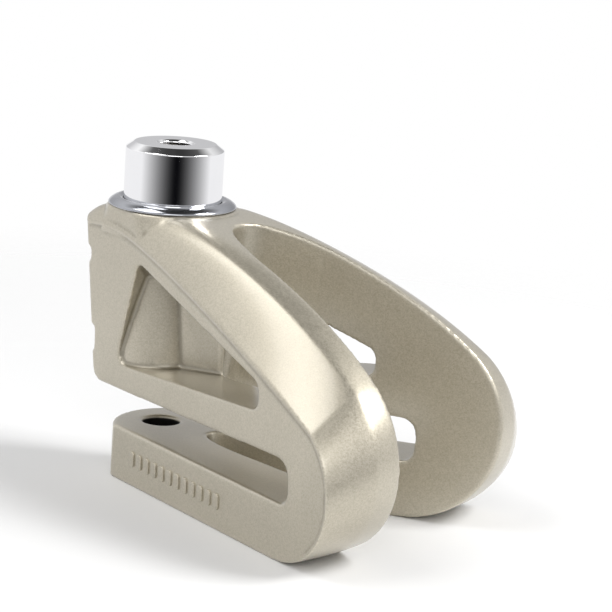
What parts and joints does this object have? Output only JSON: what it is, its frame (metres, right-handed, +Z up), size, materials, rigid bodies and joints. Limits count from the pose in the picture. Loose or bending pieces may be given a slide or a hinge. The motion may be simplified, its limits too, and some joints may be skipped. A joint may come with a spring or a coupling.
{
  "type": "disc brake lock",
  "caption": "V-shaped disc brake lock with a slot for the disc rim, two windowed wings and a push-down key cylinder that drives a sprung locking pin.",
  "frame": {"origin": "on the locking pin's axis, at the flat underside of the jaw", "axes": "+X from the pin axis towards the wing noses, +Y to the side, +Z up along the pin axis towards the key cylinder"},
  "size_m": [0.079, 0.0606, 0.0628],
  "materials": {
    "cast_body": "champagne metallic, satin gloss",
    "chrome": "mirror polished",
    "steel": "ground",
    "black_steel": "black oxide",
    "brass": "stamped",
    "rubber": "matt"
  },
  "bodies": {
    "lock": {"lock_body": "cast_body", "collar_ring": "chrome", "wiper_seal": "rubber", "barrel_liner": "steel", "guide_screw": "black_steel", "liner_screw": "black_steel", "spring_seat": "steel", "return_spring": "steel"},
    "plunger": {"plunger_shell": "chrome", "plunger_base": "steel", "base_cross_pin": "steel", "locking_pin": "steel"},
    "core": {"core_barrel": "brass", "core_tail": "steel", "sidebar": "steel", "detainer_disc_1": "brass", "detainer_disc_2": "brass", "detainer_disc_3": "brass", "detainer_disc_4": "brass", "detainer_disc_5": "brass", "detainer_disc_6": "brass", "detainer_disc_7": "brass", "disc_spacer_1": "steel", "disc_spacer_2": "steel", "disc_spacer_3": "steel", "disc_spacer_4": "steel", "disc_spacer_5": "steel", "disc_spacer_6": "steel"},
    "bolt": {"locking_bolt": "steel"}
  },
  "joints": [
    {"name": "plunger_press", "type": "slide", "parent": "lock", "child": "plunger", "axis": [0, 0, -1], "range_m": [0, 0.0102], "stiffness_N_per_m": 600, "springref_m": -0.004, "deforming": ["return_spring"]},
    {"name": "core_turn", "type": "hinge", "parent": "plunger", "child": "core", "pos_m": [0, 0, 0.05], "axis": [0, 0, -1], "range_deg": [0, 90]},
    {"name": "bolt_slide", "type": "slide", "parent": "plunger", "child": "bolt", "axis": [1, 0, 0], "range_m": [0, 0.001]}
  ],
  "couplings": [
    {"joint": "bolt_slide", "follows": "core_turn", "m_per_rad": 0.000636}
  ]
}
